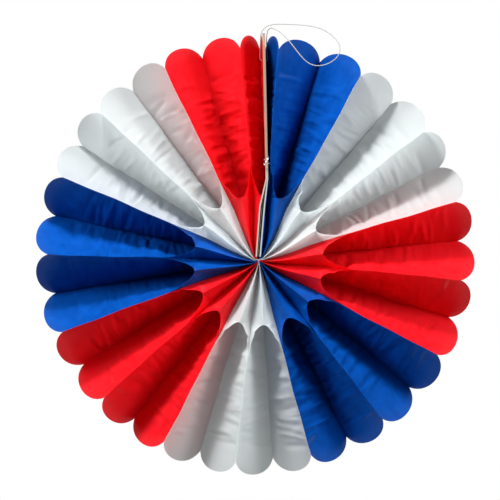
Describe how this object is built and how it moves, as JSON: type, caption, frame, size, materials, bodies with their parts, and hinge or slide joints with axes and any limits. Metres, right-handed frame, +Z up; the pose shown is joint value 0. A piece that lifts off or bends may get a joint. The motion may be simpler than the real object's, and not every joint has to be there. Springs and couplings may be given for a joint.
{
  "type": "paper fan medallion",
  "caption": "Hanging honeycomb fan medallion of red, white and blue tissue paper, opened to a full circle and clipped at its card covers, with a string loop.",
  "frame": {"origin": "in the hanging hole at the covers' outer ends, between the two covers and at mid-depth; the fan's hub is straight below, a little to -X", "axes": "front of the fan faces -Y, +Z up towards the covers' tops, +X to the viewer's right and along the hanging hole"},
  "size_m": [0.4555, 0.0695, 0.468],
  "materials": {
    "blue_tissue": "satin",
    "white_tissue": "satin",
    "red_tissue": "satin",
    "cover_card": "matte",
    "clip_wire": "polished",
    "cotton_string": "matte"
  },
  "bodies": {
    "root": {"sheet_01_blue": "blue_tissue", "sheet_02_blue": "blue_tissue", "sheet_03_blue": "blue_tissue", "sheet_04_blue": "blue_tissue", "sheet_05_white": "white_tissue", "sheet_06_white": "white_tissue", "sheet_07_white": "white_tissue", "sheet_08_white": "white_tissue", "sheet_09_red": "red_tissue", "sheet_10_red": "red_tissue", "sheet_11_red": "red_tissue", "sheet_12_red": "red_tissue", "sheet_13_blue": "blue_tissue", "sheet_14_blue": "blue_tissue", "sheet_15_blue": "blue_tissue", "sheet_16_blue": "blue_tissue", "sheet_17_white": "white_tissue", "sheet_18_white": "white_tissue", "sheet_19_white": "white_tissue", "sheet_20_white": "white_tissue", "sheet_21_red": "red_tissue", "sheet_22_red": "red_tissue", "sheet_23_red": "red_tissue", "sheet_24_red": "red_tissue", "sheet_25_blue": "blue_tissue", "sheet_26_blue": "blue_tissue", "sheet_27_blue": "blue_tissue", "sheet_28_blue": "blue_tissue", "sheet_29_white": "white_tissue", "sheet_30_white": "white_tissue", "sheet_31_white": "white_tissue", "sheet_32_white": "white_tissue", "sheet_33_red": "red_tissue", "sheet_34_red": "red_tissue", "sheet_35_red": "red_tissue", "sheet_36_red": "red_tissue", "left_card": "cover_card", "right_card": "cover_card", "closing_clip": "clip_wire", "hanging_string": "cotton_string"}
  },
  "joints": []
}
